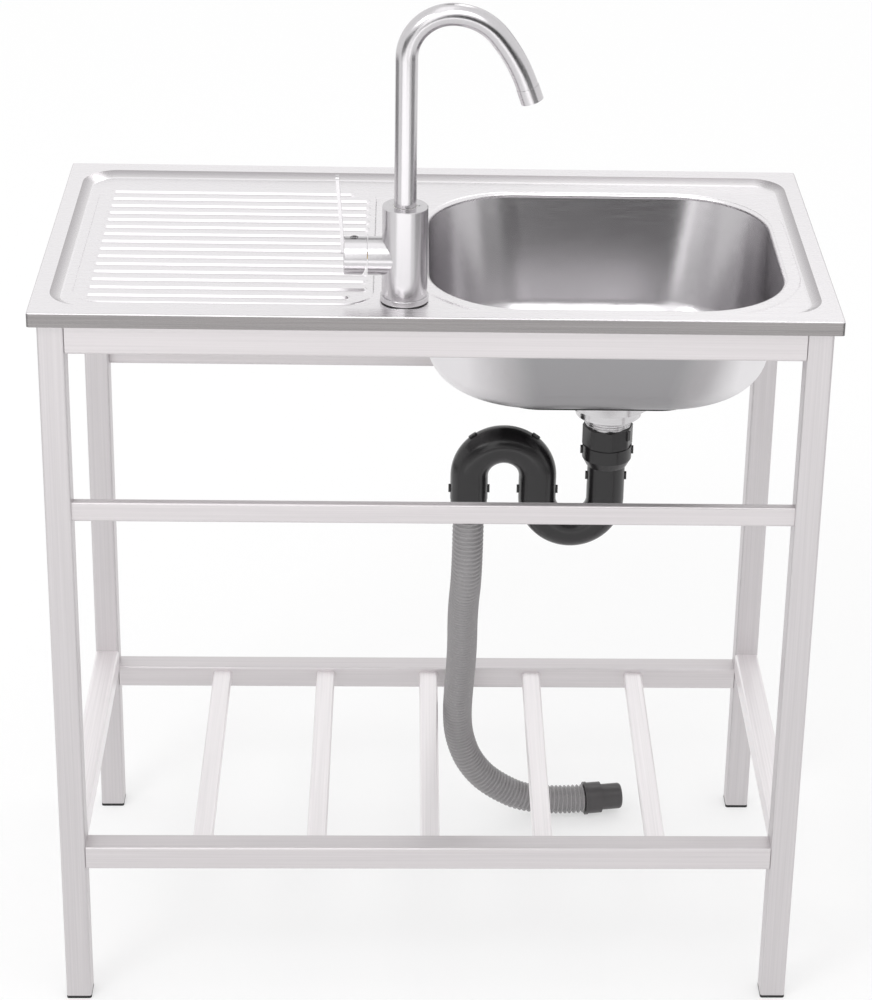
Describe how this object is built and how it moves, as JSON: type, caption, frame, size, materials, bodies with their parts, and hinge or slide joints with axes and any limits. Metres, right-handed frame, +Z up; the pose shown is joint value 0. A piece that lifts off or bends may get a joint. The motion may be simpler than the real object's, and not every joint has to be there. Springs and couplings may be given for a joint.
{
  "type": "kitchen sink unit",
  "caption": "Free-standing steel sink with a ribbed drainer and bowl on a tube frame, with a swivel tap, a strainer, a trap and a ribbed drain hose.",
  "frame": {"origin": "on the floor, below the middle of the deck", "axes": "+Z up, +X to the right along the deck, +Y from the front to the back"},
  "size_m": [0.75, 0.4, 1.0417],
  "materials": {
    "frame_steel": "satin",
    "foot_plastic": "matte",
    "fastener_steel": "satin",
    "sink_steel": "brushed",
    "pad_black": "matte",
    "strainer_steel": "satin",
    "trap_plastic": "satin",
    "seal_rubber": "matte",
    "hose_plastic": "satin",
    "connector_plastic": "satin",
    "tap_chrome": "satin",
    "tap_brass": "plain",
    "inner_plastic": "plain"
  },
  "bodies": {
    "unit": {"front_left_leg": "frame_steel", "front_right_leg": "frame_steel", "rear_left_leg": "frame_steel", "rear_right_leg": "frame_steel", "front_top_rail": "frame_steel", "rear_top_rail": "frame_steel", "left_top_rail": "frame_steel", "right_top_rail": "frame_steel", "front_middle_rail": "frame_steel", "rear_middle_rail": "frame_steel", "front_shelf_rail": "frame_steel", "rear_shelf_rail": "frame_steel", "left_shelf_rail": "frame_steel", "right_shelf_rail": "frame_steel", "shelf_slat_1": "frame_steel", "shelf_slat_2": "frame_steel", "shelf_slat_3": "frame_steel", "shelf_slat_4": "frame_steel", "shelf_slat_5": "frame_steel", "foot_plugs": "foot_plastic", "rail_bolts": "fastener_steel", "top_rail_inserts": "fastener_steel", "middle_rail_inserts": "fastener_steel", "shelf_rail_inserts": "fastener_steel", "tap_steel_washer": "fastener_steel", "spout_retaining_screw": "fastener_steel", "sink_deck": "sink_steel", "sink_bowl": "sink_steel", "sound_deadening_pad": "pad_black", "strainer_body": "strainer_steel", "slip_nut": "trap_plastic", "trap_inlet": "trap_plastic", "trap_bend": "trap_plastic", "trap_crown": "trap_plastic", "strainer_lock_nut": "trap_plastic", "strainer_flange_seal": "seal_rubber", "strainer_gasket": "seal_rubber", "outlet_washer": "seal_rubber", "tap_base_gasket": "seal_rubber", "tap_rubber_washer": "seal_rubber", "drain_hose": "hose_plastic", "hose_end_connector": "connector_plastic", "hose_cuff": "connector_plastic", "tap_body": "tap_chrome", "tap_base_ring": "tap_chrome", "tap_shank": "tap_brass", "tap_lock_nut": "tap_brass", "cartridge_nut": "tap_brass", "spout_bush": "inner_plastic", "cartridge": "inner_plastic"},
    "swivel_spout": {"spout": "tap_chrome", "spout_o_rings": "seal_rubber", "aerator_housing": "tap_chrome", "aerator_insert": "inner_plastic"},
    "mixing_carrier": {"cartridge_carrier": "inner_plastic"},
    "handle": {"handle_hub": "tap_chrome", "lever": "tap_chrome", "handle_screw": "fastener_steel", "cartridge_stem": "tap_brass"},
    "basket": {"strainer_basket": "strainer_steel"}
  },
  "joints": [
    {"name": "spout_swivel", "type": "hinge", "parent": "unit", "child": "swivel_spout", "pos_m": [-0.0315, -0.146, 0.83], "axis": [0, 0, 1], "continuous": true},
    {"name": "lever_turn", "type": "hinge", "parent": "unit", "child": "mixing_carrier", "pos_m": [-0.056, -0.146, 0.799], "axis": [1, 0, 0], "range_deg": [-45, 45]},
    {"name": "lever_tilt", "type": "hinge", "parent": "mixing_carrier", "child": "handle", "pos_m": [-0.056, -0.146, 0.799], "axis": [0, -1, 0], "range_deg": [0, 16]},
    {"name": "basket_lift", "type": "slide", "parent": "unit", "child": "basket", "axis": [0, 0, 1], "range_m": [0, 0.13]}
  ]
}
